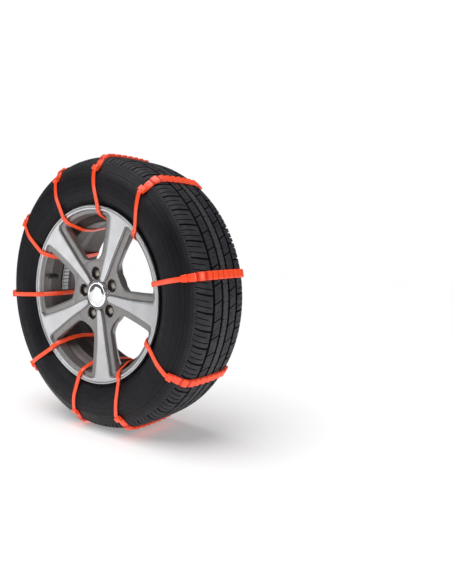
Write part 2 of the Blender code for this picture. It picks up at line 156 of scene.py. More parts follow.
def tread_table():
    """(run, y, radius) along the outside of the tread from its middle."""
    line = [(y, crown(y)) for y in (TREAD_HALF * k / 24.0 for k in range(24))]
    line += smooth_line([(TREAD_HALF, crown(TREAD_HALF))] + SHOULDER, 8)
    table, run = [], 0.0
    for i, (y, r) in enumerate(line):
        if i:
            run += math.hypot(y - line[i - 1][0], r - line[i - 1][1])
        table.append((run, y, r))
    return table


TREAD_TABLE = tread_table()
TREAD_END = TREAD_TABLE[-1][0]


def on_tread(run, lift):
    """(y, radius) of the point `run` along the tread, `lift` outside it."""
    left = min(abs(run), TREAD_END - 1e-6)
    for (s0, y0, r0), (s1, y1, r1) in zip(TREAD_TABLE, TREAD_TABLE[1:]):
        if left <= s1:
            break
    part = (left - s0) / (s1 - s0)
    y, r = y0 + (y1 - y0) * part, r0 + (r1 - r0) * part
    y += lift * (r0 - r1) / (s1 - s0)
    r += lift * (y1 - y0) / (s1 - s0)
    return (math.copysign(y, run), r)


def run_at(y):
    return between([(row[1], row[0]) for row in TREAD_TABLE], y)


def face(radius):
    return between(FACE, radius)


# ------------------------------------------------------------------ meshes
def skin(loops, closed=False):
    """Points and faces of a skin through loops that have equal numbers of
    points.  It is capped at both ends, or closed into a ring."""
    count = len(loops[0])
    points = [point for loop in loops for point in loop]
    faces = []
    for i in range(len(loops) if closed else len(loops) - 1):
        a = i * count
        b = (i + 1) % len(loops) * count
        for j in range(count):
            k = (j + 1) % count
            faces.append((a + j, a + k, b + k, b + j))
    if not closed:
        faces.append(tuple(range(count)))
        faces.append(tuple(range(len(points) - count, len(points))))
    return points, faces


def lathe(profile, steps, start=0.0):
    return skin([[polar(start + 360.0 * k / steps, y, r) for y, r in profile] for k in range(steps)], True)


def together(shapes):
    points, faces = [], []
    for more, their in shapes:
        base = len(points)
        points += more
        faces += [tuple(base + i for i in one) for one in their]
    return points, faces


def prism(outline, x0, x1, bevel):
    """A (y, radius) outline made solid between two x, with round edges."""
    points, faces = skin([[(x, y, r) for y, r in outline] for x in (x0, x1)])
    shape = bmesh.new()
    made = [shape.verts.new(point) for point in points]
    for one in faces:
        shape.faces.new([made[i] for i in one])
    bmesh.ops.recalc_face_normals(shape, faces=shape.faces)
    bmesh.ops.bevel(shape, geom=shape.edges, offset=bevel, segments=2, profile=0.6, affect='EDGES',
                    clamp_overlap=True)
    shape.verts.index_update()
    result = ([tuple(v.co) for v in shape.verts], [tuple(v.index for v in one.verts) for one in shape.faces])
    shape.free()
    return result


def mesh_of(name, shape, sharp=35.0):
    mesh = bpy.data.meshes.new(name)
    mesh.from_pydata(shape[0], [], shape[1])
    work = bmesh.new()
    work.from_mesh(mesh)
    bmesh.ops.remove_doubles(work, verts=work.verts, dist=1e-6)
    bmesh.ops.recalc_face_normals(work, faces=work.faces)
    work.to_mesh(mesh)
    work.free()
    mesh.shade_smooth()
    mesh.set_sharp_from_angle(angle=math.radians(sharp))
    return mesh


def piece(name, shape, paints, nodes, body="wheel", choose=None, place=None, sharp=35.0):
    """Make a visible piece that stands for CAD nodes.  With several paints,
    choose(centre, normal) gives the number of the paint of each face."""
    mesh = mesh_of(name, shape, sharp)
    if place:
        mesh.transform(place)
    made = bpy.data.objects.new(name, mesh)
    SCENE.collection.objects.link(made)
    for paint in paints:
        mesh.materials.append(paint)
    if choose:
        for polygon in mesh.polygons:
            polygon.material_index = choose(polygon.center, polygon.normal)
    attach(made, body)
    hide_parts(*nodes)
    return made


# --------------------------------------------------------------- materials
class Paint:
    """A Principled material whose colour, gloss and relief vary a little."""

    def __init__(self, name, colour, roughness, metallic=0.0):
        self.material = bpy.data.materials.new(name)
        self.material.use_nodes = True
        self.tree = self.material.node_tree
        self.shader = self.tree.nodes["Principled BSDF"]
        self.colour = colour
        self.roughness = roughness
        self.shader.inputs["Base Color"].default_value = (*colour, 1.0)
        self.shader.inputs["Roughness"].default_value = roughness
        self.shader.inputs["Metallic"].default_value = metallic
        self.material.diffuse_color = (*colour, 1.0)
        self.heights = []

    def node(self, kind, **settings):
        made = self.tree.nodes.new(kind)
        for key, value in settings.items():
            setattr(made, key, value)
        return made

    def join(self, output, target):
        self.tree.links.new(output, target)

    def place(self):
        return self.node("ShaderNodeTexCoord").outputs["Object"]

    def noise(self, scale, detail=3.0):
        found = self.node("ShaderNodeTexNoise")
        found.inputs["Scale"].default_value = scale
        found.inputs["Detail"].default_value = detail
        self.join(self.place(), found.inputs["Vector"])
        return found.outputs["Fac"]

    def rings(self, scale, distortion=0.0):
        """Fine rings about the axle."""
        found = self.node("ShaderNodeTexWave", wave_type='RINGS', rings_direction='Y')
        found.inputs["Scale"].default_value = scale
        found.inputs["Distortion"].default_value = distortion
        self.join(self.place(), found.inputs["Vector"])
        return found.outputs["Fac"]

    def vary_colour(self, source, low, high):
        """Blend two shades of the colour by a 0 to 1 source."""
        ramp = self.node("ShaderNodeValToRGB")
        ramp.color_ramp.elements[0].position = 0.3
        ramp.color_ramp.elements[1].position = 0.7
        for element, share in zip(ramp.color_ramp.elements, (low, high)):
            element.color = (*[min(1.0, channel * share) for channel in self.colour], 1.0)
        self.join(source, ramp.inputs["Fac"])
        self.join(ramp.outputs["Color"], self.shader.inputs["Base Color"])
        return self

    def vary_gloss(self, source, spread):
        found = self.node("ShaderNodeMapRange")
        found.inputs["From Min"].default_value = 0.25
        found.inputs["From Max"].default_value = 0.75
        found.inputs["To Min"].default_value = self.roughness - spread
        found.inputs["To Max"].default_value = self.roughness + spread
        self.join(source, found.inputs["Value"])
        self.join(found.outputs["Result"], self.shader.inputs["Roughness"])
        return self

    def relief(self, source, height, strength=1.0):
        """Bump of that height in metres; one call builds on the last."""
        bump = self.node("ShaderNodeBump")
        bump.inputs["Strength"].default_value = strength
        bump.inputs["Distance"].default_value = height
        self.join(source, bump.inputs["Height"])
        if self.heights:
            self.join(self.heights[-1], bump.inputs["Normal"])
        self.heights.append(bump.outputs["Normal"])
        self.join(bump.outputs["Normal"], self.shader.inputs["Normal"])
        return self

    def turned(self, amount):
        """Highlights drawn out as on a face cut on a lathe."""
        tangent = self.node("ShaderNodeTangent", direction_type='RADIAL', axis='Y')
        self.join(tangent.outputs["Tangent"], self.shader.inputs["Tangent"])
        self.shader.inputs["Anisotropic"].default_value = amount
        return self


def make_paints():
    made = {}

    def keep(key, colour, roughness, metallic=0.0):
        made[key] = Paint(key, colour, roughness, metallic)
        return made[key]

    tread = keep("tread_rubber", (0.034, 0.034, 0.040), 0.58)
    tread.vary_colour(tread.noise(35.0, 6.0), 0.75, 1.35).vary_gloss(tread.noise(90.0), 0.08)
    tread.relief(tread.noise(2200.0, 2.0), 0.00025)
    middle = keep("centre_rib_rubber", (0.050, 0.047, 0.052), 0.62)
    middle.vary_colour(middle.noise(420.0, 5.0), 0.45, 2.0).relief(middle.noise(1500.0, 3.0), 0.00035)
    edge = keep("shoulder_rubber", (0.014, 0.014, 0.017), 0.52)
    edge.vary_colour(edge.noise(35.0, 6.0), 0.75, 1.35).relief(edge.noise(2200.0, 2.0), 0.00015)
    # painted shade: near-black rubber for the groove walls and floors stands in for the shade in the recesses
    groove_shade = keep("groove_painted_shade", (0.006, 0.006, 0.007), 0.75)
    groove_shade.vary_colour(groove_shade.noise(60.0, 4.0), 0.7, 1.3)
    wall = keep("sidewall_rubber", (0.0050, 0.0050, 0.0075), 0.46)
    wall.vary_colour(wall.noise(22.0, 5.0), 0.8, 1.3).vary_gloss(wall.noise(60.0), 0.07)
    wall.relief(wall.rings(420.0), 0.00012).relief(wall.noise(1800.0, 2.0), 0.00012)
    for rubber in (tread, middle, edge, groove_shade, wall):
        rubber.shader.inputs["Specular IOR Level"].default_value = 0.22
    ply = keep("ply_rubber", (0.05, 0.045, 0.04), 0.8)
    ply.vary_colour(ply.noise(120.0), 0.8, 1.2).relief(ply.rings(900.0), 0.0002)
    for key, colour in (("belt_steel", (0.45, 0.45, 0.47)), ("bead_steel", (0.48, 0.36, 0.22))):
        steel = keep(key, colour, 0.38, 1.0)
        steel.vary_colour(steel.noise(200.0), 0.85, 1.1).relief(steel.rings(900.0), 0.00015)
    cut = keep("machined_alloy", (0.56, 0.56, 0.57), 0.32, 1.0)
    cut.vary_colour(cut.noise(14.0, 4.0), 0.93, 1.05).vary_gloss(cut.noise(40.0), 0.04)
    cut.relief(cut.rings(900.0), 0.00002).turned(0.65)
    painted = keep("painted_alloy", (0.25, 0.24, 0.238), 0.32, 0.60)
    painted.vary_colour(painted.noise(1500.0, 2.0), 0.85, 1.12).vary_gloss(painted.noise(70.0), 0.06)
    painted.relief(painted.noise(1600.0, 2.0), 0.00003)
    # dark paint for the inside of the rim and the walls of the nut holes: partly a darker finish, partly
    # painted shade inside the wheel
    barrel = keep("barrel_paint", (0.080, 0.066, 0.064), 0.38, 0.50)
    barrel.vary_colour(barrel.noise(18.0, 5.0), 0.75, 1.15).vary_gloss(barrel.noise(50.0), 0.08)
    barrel.relief(barrel.noise(900.0, 2.0), 0.00006)
    nut = keep("nut_plating", (0.30, 0.275, 0.24), 0.32, 1.0)
    nut.vary_colour(nut.noise(260.0, 4.0), 0.8, 1.1).vary_gloss(nut.noise(400.0), 0.08)
    chrome = keep("cap_chrome", (0.82, 0.82, 0.84), 0.10, 1.0)
    chrome.vary_gloss(chrome.noise(180.0, 4.0), 0.03)
    black = keep("valve_black", (0.014, 0.014, 0.015), 0.55)
    black.vary_colour(black.noise(300.0), 0.8, 1.4).relief(black.noise(2500.0), 0.0001)
    brass = keep("valve_brass", (0.75, 0.55, 0.25), 0.35, 1.0)
    brass.vary_colour(brass.noise(500.0), 0.85, 1.1).relief(brass.noise(1500.0), 0.00005)
    plastic = keep("valve_cap_plastic", (0.016, 0.016, 0.017), 0.42)
    plastic.vary_colour(plastic.noise(400.0), 0.8, 1.3).relief(plastic.noise(2500.0), 0.00006)
    zinc = keep("weight_zinc", (0.48, 0.49, 0.50), 0.45, 0.9)
    zinc.vary_colour(zinc.noise(500.0, 5.0), 0.75, 1.15).vary_gloss(zinc.noise(300.0), 0.10)
    # the second, darker orange is painted shade for the steps between the cleats
    oranges = [("orange_nylon", (1.00, 0.085, 0.022), 0.20), ("painted_shade_orange", (0.78, 0.030, 0.008), 0.08)]
    for key, colour, painted_glow in oranges:
        nylon = keep(key, colour, 0.33)
        nylon.vary_colour(nylon.noise(30.0, 4.0), 0.93, 1.00).vary_gloss(nylon.noise(110.0, 4.0), 0.07)
        nylon.relief(nylon.noise(320.0, 3.0), 0.00012)
        # painted glow: an emission makes the nylon brighter than the lamps on it
        nylon.shader.inputs["Emission Color"].default_value = (*colour, 1.0)
        nylon.shader.inputs["Emission Strength"].default_value = painted_glow
        nylon.shader.inputs["Subsurface Weight"].default_value = 0.08
        nylon.shader.inputs["Subsurface Radius"].default_value = (0.004, 0.0015, 0.001)
        nylon.shader.inputs["Coat Weight"].default_value = 0.20
        nylon.shader.inputs["Coat Roughness"].default_value = 0.15
    return {key: paint.material for key, paint in made.items()}


PAINT = make_paints()


# -------------------------------------------------------------------- tyre
def pitch_columns(cuts):
    """(place in the pitch, cut or None) for each column of a tread block.  A
    cut is (place, width, depth, from, to), its length measured along |run|."""
    columns = []
    for cut in cuts:
        place, width = cut[0], cut[1]
        columns += [(place, None), (place + 0.1 * width, cut)]
        columns += [(place + 0.9 * width, cut), (place + width, None)]
    for k in range(16):
        place = k / 16.0
        if all(abs(place - (cut[0] + 0.5 * cut[1])) > 0.5 * cut[1] + 0.012 for cut in cuts):
            columns.append((place, None))
    return sorted(columns, key=lambda column: column[0])


def rib(rows, bottom, cuts, slant):
    """Closed rib round the tyre.  rows are (run, lift) over its top and sides,
    bottom closes it underneath, and slant(run) turns a row, in degrees."""
    loops = []
    columns = pitch_columns(cuts)
    for pitch in range(PITCHES):
        for place, cut in columns:
            angle = (pitch + place) * PITCH_ANGLE
            loop = []
            for run, lift in rows:
                depth = 0.0
                if cut and cut[3] <= abs(run) <= cut[4]:
                    depth = min(cut[2], between(DEEPEST_CUT, abs(run)))
                y, r = on_tread(run, min(lift, -depth))
                loop.append(polar(angle + slant(run), y, r))
            for k, (y, r) in enumerate(bottom):
                share = (k + 1.0) / (len(bottom) + 1.0)
                turn = slant(rows[-1][0]) * (1.0 - share) + slant(rows[0][0]) * share
                loop.append(polar(angle + turn, y, r))
            loops.append(loop)
    return skin(loops, True)


def rib_rows(first, last, count, both=True):
    """Rows of a rib between two runs, with a small round at its edges."""
    step = math.copysign(0.0006, last - first)
    rows = [(first, -0.0086), (first, -0.0006), (first + step, 0.0)]
    stop = last - step if both else last
    rows += [(first + step + (stop - first - step) * k / count, 0.0) for k in range(1, count + 1)]
    return rows + [(last, -0.0006), (last, -0.0086)] if both else rows


def make_tread():
    inner = 0.3480
    floor = [(y, crown(y) - GROOVE_DEPTH) for y in (0.0520, 0.0400, 0.0180, 0.0085)]
    half = [(0.0520, inner)] + floor
    shapes = [lathe(half + [(-y, r) for y, r in reversed(half)], 200)]
    outer = run_at(0.0498)
    shoulder_cuts = [(0.0, 0.115, 0.0068, 0.0, 0.0960), (0.37, 0.058, 0.0045, 0.0640, 0.0970),
                     (0.70, 0.058, 0.0045, 0.0530, 0.0970), (0.22, 0.030, 0.0022, 0.0940, 0.0990),
                     (0.54, 0.030, 0.0022, 0.0940, 0.0990), (0.87, 0.030, 0.0022, 0.0940, 0.0990)]
    rib_cuts = [(0.0, 0.085, 0.0066, 0.0, 0.2), (0.32, 0.024, 0.0035, 0.0170, 0.0270),
                (0.54, 0.024, 0.0035, 0.0230, 0.0360), (0.78, 0.024, 0.0035, 0.0310, 0.0420)]
    centre_cuts = [(0.08, 0.060, 0.0040, 0.0060, 0.0100), (0.30, 0.016, 0.0022, 0.0, 0.0052),
                   (0.55, 0.030, 0.0022, 0.0048, 0.0100), (0.80, 0.016, 0.0022, 0.0, 0.0070)]

    def shoulder_slant(start):
        return lambda run: start - 1.45 * max(0.0, (abs(run) - 0.0500) / 0.0430) ** 1.5

    def wavy(first, last):
        """Slant that runs from one edge of an inner rib to the other."""
        near, far = INNER_RIB
        return lambda run: first + (last - first) * (abs(run) - near) / (far - near)

    near, far = INNER_RIB
    shapes.append(rib(rib_rows(-far, -near, 10), [], rib_cuts, wavy(-0.35, 1.05)))
    shapes.append(rib(rib_rows(near, far, 10), [], rib_cuts, wavy(3.30, 1.65)))
    shapes.append(rib(rib_rows(-CENTRE_RIB, CENTRE_RIB, 8), [], centre_cuts, lambda run: 0.0))
    surface = [(row[1], row[2]) for row in TREAD_TABLE]

    kinds = ["tread_rubber", "groove_painted_shade", "centre_rib_rubber", "shoulder_rubber", "sidewall_rubber"]
    paints = [PAINT[kind] for kind in kinds]

    def kind_at(centre, normal):
        """The sides and floors of grooves get a darker rubber, painted shade for
        the recesses; the centre rib is rough, and the shoulders turn as smooth
        as the sidewalls."""
        if between(surface, abs(centre.y)) - math.hypot(centre.x, centre.z) > 0.0012:
            return kinds.index("groove_painted_shade")
        if abs(centre.y) < 0.0100:
            return kinds.index("centre_rib_rubber")
        if abs(centre.y) < 0.0930:
            return kinds.index("tread_rubber")
        return kinds.index("shoulder_rubber" if abs(centre.y) < 0.0975 else "sidewall_rubber")

    piece("middle_ribs", together(shapes), paints, ["tyre_tread"], choose=kind_at)
    for side, start, place in ((-1.0, 4.36, "outboard"), (1.0, 5.00, "inboard")):
        rows = rib_rows(side * outer, side * (TREAD_END - 0.0001), 34, both=False)
        under = [(0.1044, 0.3212), (0.1035, 0.3205), (0.0815, inner), (0.0498, inner)]
        under = [(side * y, r) for y, r in under]
        piece("shoulder_rib_" + place, rib(rows, under, shoulder_cuts, shoulder_slant(start)), paints,
              ["tyre_tread"], choose=kind_at)


def sidewall_relief(radius):
    """Height of the moulded rings that stand on the sidewall."""
    height = 0.0
    rings = [(0.3160, 0.0006, 0.0005), (0.3130, 0.0005, 0.0004), (0.3100, 0.0005, 0.0004),
             (0.3070, 0.0005, 0.0003), (0.2960, 0.0009, 0.0005), (0.2700, 0.0007, 0.0005),
             (0.2560, 0.0010, 0.0007), (0.2450, 0.0008, 0.0006)]        # (radius, half width, height)
    for middle, half, tall in rings:
        height += tall * max(0.0, 1.0 - ((radius - middle) / half) ** 2)
    return height


def make_sidewalls():
    outside = [(0.0882, 0.2240), (0.0884, 0.2310), (0.0915, 0.2380), (0.0995, 0.2490), (0.1080, 0.2620),
               (0.1128, 0.2780), (0.1138, 0.2930), (0.1130, 0.3050), (0.1100, 0.3140), (0.1053, 0.3209)]
    inside = [(0.1034, 0.3200), (0.1040, 0.3142), (0.1099, 0.2882), (0.1014, 0.2609), (0.0870, 0.2439),
              (0.0830, 0.2322), (0.0830, 0.2227)]
    curve = [(y + sidewall_relief(r), r) for y, r in smooth_line(outside, 30)]
    for side, place in ((-1.0, "outboard"), (1.0, "inboard")):
        profile = [(side * y, r) for y, r in curve + inside]
        piece("sidewall_skin_" + place, lathe(profile, 240), [PAINT["sidewall_rubber"]],
              ["sidewall_" + place])


# ------------------------------------------------------------- alloy wheel
def barrel_profile():
    """Rim with its flanges, and the ring that the spokes run into."""
    drop = LEDGE_DROP
    points = [(-0.0640, 0.2108), (face(0.2126) + drop, 0.2126), (face(0.2212) + drop, 0.2212),
              (face(0.2226), 0.2226), (face(0.2278), 0.2278), (-0.0978, 0.2284), (-0.0978, 0.2292),
              (-0.1002, 0.2298), (-0.1010, 0.2310), (-0.1010, 0.2335), (-0.0970, 0.2356), (-0.0920, 0.2356),
              (-0.0889, 0.2300), (-0.0889, 0.2240), (-0.0850, 0.2185), (-0.0660, 0.2168), (-0.0580, 0.2160),
              (-0.0450, 0.1980), (-0.0120, 0.1980), (0.0300, 0.2165), (0.0620, 0.2168), (0.0850, 0.2185),
              (0.0889, 0.2240), (0.0889, 0.2300), (0.0920, 0.2356), (0.0970, 0.2356), (0.1010, 0.2335),
              (0.1010, 0.2290), (0.0930, 0.2140), (0.0840, 0.2125), (0.0560, 0.2118), (0.0553, 0.2112),
              (0.0330, 0.2107), (-0.0100, 0.1930), (-0.0470, 0.1930), (-0.0560, 0.2040)]
    return softened(points, 0.0011, 3)


def barrel_paint(centre, normal):
    radius = math.hypot(centre.x, centre.z)
    if centre.y < -0.0935 and radius > 0.2215:
        return 0
    # faces behind the spokes get the dark barrel paint, which is partly painted shade inside the wheel
    return 1 if centre.y < -0.0700 else 2


def window_half(radius, y):
    """Half angle of a window at a radius and depth."""
    front = between(WINDOW_CURVE_FRONT, radius)
    back = between(WINDOW_CURVE_BACK, radius)
    share = min(1.0, max(0.0, (y - FLARE_FROM) / (FLARE_TO - FLARE_FROM)))
    return front + (back - front) * share


WINDOW_CURVE_FRONT = smooth_line(WINDOW_FRONT[:6], 6) + WINDOW_FRONT[6:]
WINDOW_CURVE_BACK = smooth_line(WINDOW_BACK[:6], 6) + WINDOW_BACK[6:]
SPOKE_CURVE = smooth_line(SPOKE_HALF, 6)


def spoke_body(centre_angle):
    """Painted spoke between two windows, from the hub to the rim."""
    radii = [0.0915, 0.0932, 0.0938, 0.0946, 0.0955, 0.0965, 0.0980, 0.1000, 0.1025, 0.1055, 0.1090, 0.1130]
    radii += [0.1180 + 0.0058 * k for k in range(16)] + [0.2085, 0.2105, 0.2117, 0.2126, 0.2150]
    round_off = 0.0012
    loops = []
    for radius in radii:
        top = face(radius) + LEDGE_DROP - 0.0002
        back = between(DISC_BACK, radius)
        half = 36.0 - window_half(radius, FLARE_FROM)
        inset = math.degrees(round_off / radius)
        right = [(half - inset, top), (half - 0.3 * inset, top + 0.3 * round_off), (half, top + round_off),
                 (half, FLARE_FROM)]
        right += [(36.0 - window_half(radius, y), y) for y in (0.5 * (FLARE_FROM + back), back)]
        across_top = [((half - inset) * k / 5.0, top) for k in range(-4, 5)]
        edge = 36.0 - window_half(radius, back)
        across_back = [(edge * k / 3.0, back) for k in (2, 1, 0, -1, -2)]
        left = [(-angle, y) for angle, y in reversed(right)]
        loop = across_top + right + across_back + left
        sink = 0.0040 if radius in (radii[0], radii[-1]) else 0.0       # both ends dive into the metal
        loops.append([polar(centre_angle + angle, min(y + sink, back), radius) for angle, y in loop])
    return skin(loops)


def spoke_face(centre_angle):
    """Raised, lathe-cut face of a spoke with its drafted walls."""
    start = 0.0405
    radii = [start + 0.0075 * (1.0 - math.cos(math.radians(90.0 * k / 7.0))) for k in range(8)]
    radii += [0.0520 + 0.0060 * k for k in range(28)]
    radii += [0.2165, 0.2190, 0.2205, 0.2215, 0.2225, 0.2234, 0.2240]
    loops = []
    for radius in radii:
        half = between(SPOKE_CURVE, radius)
        if radius < 0.0480:
            half *= math.sqrt(max(0.0004, 1.0 - ((0.0480 - radius) / 0.0075) ** 2))
        top = face(radius) + 0.00005
        edge = min(0.0008, 0.4 * half)
        half_loop = [(half - edge, top), (half - 0.3 * edge, top + 0.3 * edge), (half, top + edge),
                     (half + 0.0005, top + 0.0028), (half + 0.0014, top + 0.0031),
                     (half + 0.0016, top + 0.0038), (half + 0.0019, top + 0.0085)]
        side = [(math.degrees(math.asin(min(0.9, x / radius))), y) for x, y in half_loop]
        across = [(side[0][0] * k / 3.0, top) for k in (-2, -1, 0, 1, 2)]
        loop = across + side + [(-angle, y) for angle, y in reversed(side)]
        sink = 0.0050 if radius == radii[-1] else 0.0           # the outer end dives into the rim
        loops.append([polar(centre_angle + angle, y + sink, radius) for angle, y in loop])
    return skin(loops)


def hub_profile():
    drop = LEDGE_DROP
    outer = 0.0932
    front = [(-0.0778, 0.0320), (-0.0778, 0.0346), (-0.0802, 0.0349), (-0.0806, 0.0360), (-0.0806, 0.0385),
             (-0.0765, 0.0402)]
    front += [(face(r) + drop, r) for r in (0.0430, 0.0520, 0.0600, 0.0700, 0.0800, outer)]
    return softened(front + [(FLARE_FROM, outer), (-0.0530, 0.0905), (-0.0450, 0.0780), (-0.0450, 0.0320)],
                    0.0009, 3)


def bored(made, holes):
    """Cut holes into a piece with exact Booleans, and keep the result."""
    tools = []
    for number, (shape, place) in enumerate(holes):
        tool = bpy.data.objects.new("hole_%d" % number, mesh_of("hole_%d" % number, shape))
        tool.data.transform(place)
        SCENE.collection.objects.link(tool)
        step = made.modifiers.new(tool.name, 'BOOLEAN')
        step.operation = 'DIFFERENCE'
        step.solver = 'EXACT'
        step.object = tool
        tools.append(tool)
    graph = bpy.context.evaluated_depsgraph_get()
    cut = bpy.data.meshes.new_from_object(made.evaluated_get(graph))
    made.modifiers.clear()
    made.data = cut
    cut.set_sharp_from_angle(angle=math.radians(35.0))
    for tool in tools:
        bpy.data.objects.remove(tool, do_unlink=True)


def at_nut(angle):
    return Matrix.Translation(polar(angle, 0.0, BOLT_RADIUS))


def in_a_hole(centre):
    flat = Vector((centre.x, 0.0, centre.z))
    return any((flat - Vector(polar(angle, 0.0, BOLT_RADIUS))).length < HOLE_MOUTH - 0.0002
               for angle in WINDOW_ANGLES)


def make_alloy_wheel():
    three = [PAINT["machined_alloy"], PAINT["painted_alloy"], PAINT["barrel_paint"]]
    piece("rim", lathe(barrel_profile(), 240), three, ["alloy_wheel"], choose=barrel_paint)
    hub = piece("hub", lathe(hub_profile(), 144), [PAINT["painted_alloy"]], ["alloy_wheel"])
    hole = lathe([(-0.12, 0.0), (-0.12, HOLE_MOUTH), (-0.0774, HOLE_MOUTH), (-0.0750, HOLE_RADIUS),
                  (-0.0668, HOLE_RADIUS), (-0.0665, NUT_SEAT), (-0.0600, 0.0078), (-0.03, 0.0078),
                  (-0.03, 0.0)], 48)
    bored(hub, [(hole, at_nut(angle)) for angle in WINDOW_ANGLES])
    # painted shade: the walls of the nut holes get the dark barrel paint, though the metal there is the same
    # painted alloy
    hub.data.materials.append(PAINT["barrel_paint"])
    for polygon in hub.data.polygons:
        if polygon.center.y > face(BOLT_RADIUS) + LEDGE_DROP + 0.0012 and in_a_hole(polygon.center):
            polygon.material_index = 1
    piece("spokes", together([spoke_body(angle) for angle in SPOKE_ANGLES]), [PAINT["painted_alloy"]],
          ["alloy_wheel"])
    piece("spoke_faces", together([spoke_face(angle) for angle in SPOKE_ANGLES]), three[:2], ["alloy_wheel"],
          choose=lambda centre, normal: 0 if normal.y < -0.75 else 1)


# ------------------------------------------------------- fasteners, valve
def make_nuts():
    for number, angle in enumerate(WINDOW_ANGLES, 1):
        dome = softened([(-0.0605, 0.0072), (-0.0650, 0.0122), (-0.0658, 0.0120), (-0.0661, 0.0108),
                         (-0.0685, 0.0107), (-0.0708, 0.0078), (-0.0715, 0.0)], 0.0006, 2, closed=False)
        profile = [(-0.0605, 0.0)] + dome
        loops = []
        for k in range(72):
            turn = 360.0 * k / 72
            flat = 1.06 * math.cos(math.radians(30.0)) / math.cos(math.radians((turn % 60.0) - 30.0))
            loops.append([polar(turn, y, r * (flat if -0.0700 < y < -0.0660 else 1.0)) for y, r in profile])
        piece("nut_%d" % number, skin(loops, True), [PAINT["nut_plating"]], ["lug_nut_%d" % number],
              place=at_nut(angle))


def make_cap():
    front = smooth_line([(-0.0850, 0.0), (-0.0848, 0.0100), (-0.0842, 0.0200), (-0.0826, 0.0280)], 6)
    rim = softened([(-0.0822, 0.0290), (-0.0828, 0.0296), (-0.0828, 0.0322), (-0.0812, 0.0338),
                    (-0.0782, 0.0338), (-0.0782, 0.0313), (-0.0620, 0.0313), (-0.0620, 0.0295),
                    (-0.0782, 0.0290)], 0.0006, 3, closed=False)
    piece("cap_shell", lathe(front + rim + [(-0.0810, 0.0)], 120), [PAINT["cap_chrome"]], ["centre_cap"],
          body="centre_cap")


def to_valve():
    return (Matrix.Rotation(math.radians(VALVE_ANGLE), 4, 'Y')
            @ Matrix.Translation((0.0, -0.0500, 0.2045))
            @ Matrix.Rotation(math.radians(VALVE_TILT), 4, 'X'))


def make_valve():
    stem = [(0.0110, 0.0030), (0.0110, 0.0066), (0.0095, 0.0084), (0.0052, 0.0084), (0.0042, 0.0059),
            (-0.0080, 0.0059), (-0.0110, 0.0053), (-0.0130, 0.0047), (-0.0230, 0.0044), (-0.0230, 0.0030)]
    cap = [(-0.0342, 0.0), (-0.0342, 0.0030), (-0.0236, 0.0030), (-0.0236, 0.0048), (-0.0350, 0.0044),
           (-0.0362, 0.0030), (-0.0362, 0.0)]
    piece("valve_stem", lathe(softened(stem, 0.0007), 48), [PAINT["valve_black"]], ["valve_rubber"],
          place=to_valve())
    loops = []
    for k in range(96):
        ribbed = 1.0 if k % 4 < 2 else 0.955
        loops.append([polar(360.0 * k / 96, y, r * (ribbed if r > 0.0040 else 1.0))
                      for y, r in softened(cap, 0.0004, 2, closed=False)])
    piece("valve_hood", skin(loops, True), [PAINT["valve_cap_plastic"]], ["valve_cap"],
          body="valve_cap", place=to_valve())


def make_weights():
    first, last = WEIGHT_SPAN
    step = (last - first) / 7.0
    shapes = []
    for block in range(7):
        loops = []
        a0 = first + step * block + 0.20
        a1 = a0 + step - 0.40
        corners = [(-0.0440, 0.1880), (-0.0240, 0.1880), (-0.0240, 0.1917), (-0.0440, 0.1917)]
        outline = softened(corners, 0.0008, 2)
        for share, shrink in ((0.0, 0.0006), (0.06, 0.0), (0.94, 0.0), (1.0, 0.0006)):
            loops.append([polar(a0 + (a1 - a0) * share, y + math.copysign(shrink, -0.0340 - y),
                                r + math.copysign(shrink, 0.1898 - r)) for y, r in outline])
        shapes.append(skin(loops))
    strip = [(-0.0436, 0.1912), (-0.0244, 0.1912), (-0.0244, 0.1920), (-0.0436, 0.1920)]
    angles = [first + (last - first) * k / 24.0 for k in range(25)]
    shapes.append(skin([[polar(angle, y, r) for y, r in strip] for angle in angles]))
    piece("weights", together(shapes), [PAINT["weight_zinc"]], ["balance_weights"])


# -------------------------------------------------------------------- ties
def on_head(along, out):
    point = HEAD_AT + along * HEAD_ALONG + out * HEAD_OUT
    return (point.x, point.y)


def strap_line():
    """Middle line of a strap, from the head round the tyre to its slot."""
    side = [(0.1116, 0.3159), (0.1152, 0.3064), (0.1158, 0.2930), (0.1152, 0.2796), (0.1028, 0.2330)]
    lift = [(0.0920, 0.3451), (0.0995, 0.3322), (0.1065, 0.3226)]
    over = [on_head(-0.0040, 0.0016), on_head(0.0070, 0.0016), (-lift[0][0], lift[0][1])]
    over += [on_tread(run, 0.0018) for run in (-0.0850, -0.0700, -0.0450, 0.0, 0.0450, 0.0700, 0.0850)]
    under = [(0.1027, 0.2286), (0.0941, 0.2124), (-0.0098, 0.1908), (-0.0474, 0.1908), (-0.0938, 0.2107),
             (-0.1028, 0.2256)]
    up = [(-y, r) for y, r in reversed(side[1:])] + [on_head(s, 0.0041) for s in (-0.0105, -0.0078, 0.0085)]
    return softened(over + lift + side + under + up, 0.0120, 5, closed=False)


def strap(line):
    """Rounded band along a line, 12 mm wide."""
    half_width, half_thick, corner = STRAP_WIDTH * 0.5, 0.0010, 0.0006
    outline = softened([(-half_width, -half_thick), (half_width, -half_thick), (half_width, half_thick),
                        (-half_width, half_thick)], corner, 2)
    loops = []
    for i, (y, r) in enumerate(line):
        ahead = Vector(line[min(i + 1, len(line) - 1)]) - Vector(line[max(i - 1, 0)])
        ahead.normalize()
        loops.append([(x, y - ahead.y * h, r + ahead.x * h) for x, h in outline])
    return skin(loops)


